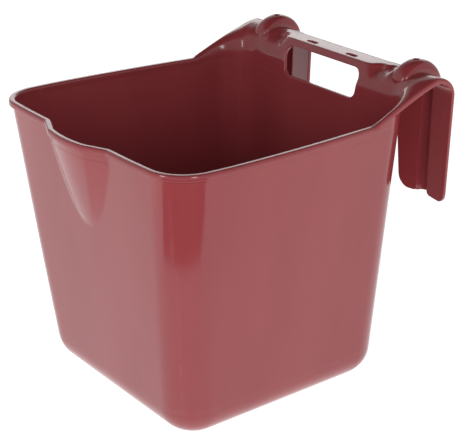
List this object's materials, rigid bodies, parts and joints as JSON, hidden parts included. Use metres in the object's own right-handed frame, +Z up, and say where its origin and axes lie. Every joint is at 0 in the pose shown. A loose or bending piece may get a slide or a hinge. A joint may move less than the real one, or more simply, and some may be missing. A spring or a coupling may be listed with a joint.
{
  "type": "feed bucket",
  "caption": "Hang-over stable feed bucket: tapered square tub with a pouring spout, a hand hole under a grip bar and broad hooks that drop over a board.",
  "frame": {"origin": "middle of the underside of the floor, where the bucket stands", "axes": "+Z up, +Y towards the hooks, -Y towards the spout, +X to the right seen from the spout"},
  "size_m": [0.312, 0.3498, 0.311],
  "materials": {
    "moulding": "glossy moulded polypropylene, burgundy right through"
  },
  "bodies": {
    "root": {"floor_pan": "moulding", "front_wall": "moulding", "right_wall": "moulding", "rear_wall": "moulding", "left_wall": "moulding", "pour_spout": "moulding", "spout_lip": "moulding", "front_right_rim": "moulding", "front_left_rim": "moulding", "right_rim": "moulding", "left_rim": "moulding", "grip_bar": "moulding", "right_shoulder": "moulding", "left_shoulder": "moulding", "right_edging": "moulding", "left_edging": "moulding", "right_hook_inner_strap": "moulding", "left_hook_inner_strap": "moulding", "right_hook_outer_strap": "moulding", "left_hook_outer_strap": "moulding", "right_hook_rib": "moulding", "left_hook_rib": "moulding"}
  },
  "joints": []
}
